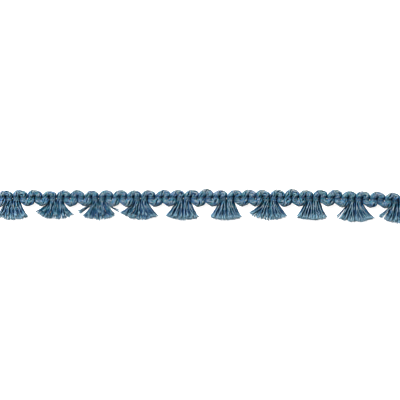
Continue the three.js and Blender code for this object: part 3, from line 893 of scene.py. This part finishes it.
def spun_material(name, finish):
    """A soft matt cotton finish of the Spun fibres, with a fine bump and a faint sheen."""
    material = bpy.data.materials.new(name)
    material.use_nodes = True
    tree = material.node_tree
    fibres = add_node(tree, "ShaderNodeGroup", finish, node_tree=spun)
    bump = add_node(tree, "ShaderNodeBump", {
        "Height": fibres.outputs["Height"], "Strength": 0.6, "Distance": 0.00012})
    shader = tree.nodes["Principled BSDF"]
    tree.links.new(fibres.outputs["Colour"], shader.inputs["Base Color"])
    tree.links.new(bump.outputs["Normal"], shader.inputs["Normal"])
    shader.inputs["Roughness"].default_value = 0.92
    shader.inputs["Specular IOR Level"].default_value = 0.08
    shader.inputs["Sheen Weight"].default_value = 0.06
    shader.inputs["Sheen Roughness"].default_value = 0.45
    shader.inputs["Sheen Tint"].default_value = (1.0, 0.97, 0.95, 1)
    return material


# The darkest of the yarn's colours is a painted shade, and its palest greys are part wear and part
# painted highlight.
weft_yarn = spun_material("weft_yarn", {
    "Shade Colour": (0.0005, 0.02, 0.055, 1), "Face Colour": (0.04, 0.154, 0.238, 1),
    "Worn Highlight Colour": (0.19, 0.197, 0.182, 1), "Tassel Colour": (0.175, 0.225, 0.26, 1),
    "Cut Colour": (0.21, 0.375, 0.475, 1), "Fibre Density": 3.0, "Dye Patches": 330})
YARN_SECTION = {"sides": 6, "valley": 0.8, "ply_twist": PLY_TWIST}
PLY_SECTION = {"sides": 4, "valley": 0.9, "ply_twist": 1.6}
PLY_TINT = 0.15


def lay_weft(node, pieces, halves):
    """Lays one bundle. halves says which ends are half tassels: at its end, tassel and side."""
    course, along = smooth_course(pieces)
    yarns = bundle_yarns(course, along)
    join_tails(yarns, halves)
    strands, plies = [], []
    for yarn in yarns:
        tint = dice.random()
        for ply in open_ends(yarn, halves):
            plies.append((ply, tint + dice.uniform(-PLY_TINT, PLY_TINT)))
        strands.append(shaped_strand(yarn, tint, **YARN_SECTION))
    ply_tubes = [shaped_strand(ply, tint, **PLY_SECTION, cut_end=True) for ply, tint in plies]
    fibres = [frayed_ends([ply for ply, _ in plies]), loose_fuzz(strands, FUZZ_PER_WEFT),
              loose_fuzz(ply_tubes, FUZZ_PER_TASSELS)]
    piece = strand_mesh(node + "_yarns", strands, ply_tubes, fibres, weft_yarn)
    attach(piece, "root")
    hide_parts(node)


# Both end bundles have one half tassel, and are cut on the leg after their bottom lobe.
NECK_Y, CUT_LEG_Y = -1.3, 2.4
neck_x = LEG_PITCH - LEG_FROM_EYE
first_x, last_x = tassel_x(0), tassel_x(TASSELS - 1)
lay_weft("weft_left_end", [
    leg_course(first_x - LOBE_PITCH - neck_x, CUT_LEG_Y, BOTTOM_EYE_Y),
    lobe_course(first_x - LOBE_PITCH, False),
    lobe_course(first_x - LEG_PITCH, True),
    leg_course(first_x - neck_x, TOP_EYE_Y, NECK_Y),
], [(True, 0, -1)])
for number in range(TASSELS - 1):
    start_x = tassel_x(number)
    route = [leg_course(start_x + neck_x, NECK_Y, TOP_EYE_Y)]
    for lobe in range(LOBES_PER_TASSEL):
        top_x = start_x + LOBE_PITCH * (lobe + 0.5)
        route.append(lobe_course(top_x, True))
        if lobe < LOBES_PER_TASSEL - 1:
            route.append(lobe_course(top_x + LEG_PITCH, False))
    route.append(leg_course(start_x + TASSEL_PITCH - neck_x, TOP_EYE_Y, NECK_Y))
    lay_weft(f"weft_{number + 1}", route, [(False, number, 1), (True, number + 1, -1)])
lay_weft("weft_right_end", [
    leg_course(last_x + neck_x, NECK_Y, TOP_EYE_Y),
    lobe_course(last_x + LEG_PITCH, True),
    lobe_course(last_x + LOBE_PITCH, False),
    leg_course(last_x + LOBE_PITCH + neck_x, BOTTOM_EYE_Y, CUT_LEG_Y),
], [(False, TASSELS - 1, 1)])


# The binding threads: three pairs of fine two-ply cotton threads, a little greyer than the yarn. They
# are woven over and under the legs of the cord in turn, and hold them side by side.
THREAD_RADIUS = 0.21
THREAD_MIDDLE_Z, THREAD_SWING, THREAD_STEEPNESS = 1.6, 1.4, 2.0
THREAD_TAIL, THREAD_STEP = 4.3, 0.3
THREAD_SIDE_WAVE, THREAD_THICK_WAVE = (0.12, 11), (0.08, 3)
THREAD_SECTION = {"sides": 6, "valley": 0.84, "ply_twist": 1.8}
# As on the yarn, the thread's darkest colour is a painted shade and its palest part wear and part
# painted highlight.
binding_thread = spun_material("binding_thread", {
    "Shade Colour": (0.004, 0.03, 0.05, 1), "Face Colour": (0.06, 0.13, 0.18, 1),
    "Worn Highlight Colour": (0.2, 0.25, 0.28, 1), "Tassel Colour": (0.2, 0.25, 0.28, 1),
    "Cut Colour": (0.16, 0.23, 0.27, 1), "Fibre Density": 4.0, "Dye Patches": 200})
last_leg_x = last_x + LOBE_PITCH + LEG_PITCH / 2
for node, thread_y, over_odd in BINDING_THREADS:
    x = np.arange(FIRST_LEG_X - THREAD_TAIL, last_leg_x + THREAD_TAIL, THREAD_STEP)
    phase = np.clip(x, FIRST_LEG_X, last_leg_x) - FIRST_LEG_X
    strands = []
    for partner in (1, -1):
        swing = np.cos(np.pi * phase / LEG_PITCH) * (-partner if over_odd else partner)
        swing = np.tanh(THREAD_STEEPNESS * swing) / np.tanh(THREAD_STEEPNESS)
        line = np.column_stack([
            x, thread_y + partner * THREAD_APART + wander(x, *THREAD_SIDE_WAVE),
            THREAD_MIDDLE_Z + THREAD_SWING * swing])
        radius = THREAD_RADIUS * (1 + wander(x, *THREAD_THICK_WAVE))
        thread = laid_strand(line, radius, UP, 1.0)
        strands.append(shaped_strand(thread, dice.random(), **THREAD_SECTION, cut_start=True,
                                     cut_end=True))
    piece = strand_mesh(node + "_pair", strands, [], [loose_fuzz(strands, FUZZ_PER_PAIR)],
                        binding_thread)
    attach(piece, "root")
    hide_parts(node)


# The white table, the soft light and the camera straight above, as for a shop's photograph. The
# table looks near white to the camera, but throws little light back up at the trim.
TABLE_HALF = 3
TABLE_GLOW = 0.85
table = bpy.data.meshes.new("white_table")
corners = [(x * TABLE_HALF, y * TABLE_HALF, 0) for x, y in ((-1, -1), (1, -1), (1, 1), (-1, 1))]
table.from_pydata(corners, [], [(0, 1, 2, 3)])
table_top = bpy.data.objects.new("white_table", table)
scene.collection.objects.link(table_top)
white = bpy.data.materials.new("white_table")
white.use_nodes = True
white_shader = white.node_tree.nodes["Principled BSDF"]
white_shader.inputs["Base Color"].default_value = (0.4, 0.4, 0.4, 1)
white_shader.inputs["Roughness"].default_value = 0.9
white_shader.inputs["Specular IOR Level"].default_value = 0.1
seen = add_node(white.node_tree, "ShaderNodeLightPath")
glow = maths(white.node_tree, "MULTIPLY", seen.outputs["Is Camera Ray"], TABLE_GLOW)
white_shader.inputs["Emission Color"].default_value = (1, 1, 1, 1)
white.node_tree.links.new(glow, white_shader.inputs["Emission Strength"])
table.materials.append(white)

world = bpy.data.worlds.new("studio")
world.use_nodes = True
sky = world.node_tree.nodes["Background"]
sky.inputs["Color"].default_value = (1, 1, 1, 1)
sky.inputs["Strength"].default_value = 0.35
scene.world = world


def area_light(name, size, power, lit_colour, location):
    """A square light that faces the middle of the trim."""
    lamp = bpy.data.lights.new(name, "AREA")
    lamp.size = size
    lamp.energy = power
    lamp.color = lit_colour
    light = bpy.data.objects.new(name, lamp)
    light.location = location
    light.rotation_euler = (-light.location).to_track_quat("-Z", "Y").to_euler()
    scene.collection.objects.link(light)
    return light


# The key light is high on the left, and a warm rim light low behind the scalloped edge.
key_light = area_light("soft_key", 0.6, 78, (1.0, 1.0, 1.0), (-0.9, 0.85, 1.05))
rim_light = area_light("warm_rim", 0.4, 26, (1.0, 0.8, 0.66), (0.1, 1.2, 0.35))

# The camera sees the stretch of the trim that the photo shows.
FRAME_WIDTH, FRAME_CENTRE = 0.2689, (-0.00387, 0.00441)
CAMERA_HEIGHT = 2.0
lens = bpy.data.cameras.new("photo_camera")
lens.sensor_width = 36
lens.lens = lens.sensor_width * CAMERA_HEIGHT / FRAME_WIDTH
lens.clip_start = 0.1
lens.clip_end = 10
camera = bpy.data.objects.new("photo_camera", lens)
camera.location = (*FRAME_CENTRE, CAMERA_HEIGHT)
scene.collection.objects.link(camera)
scene.camera = camera
scene.view_settings.view_transform = "Standard"
scene.cycles.filter_width = 1.0
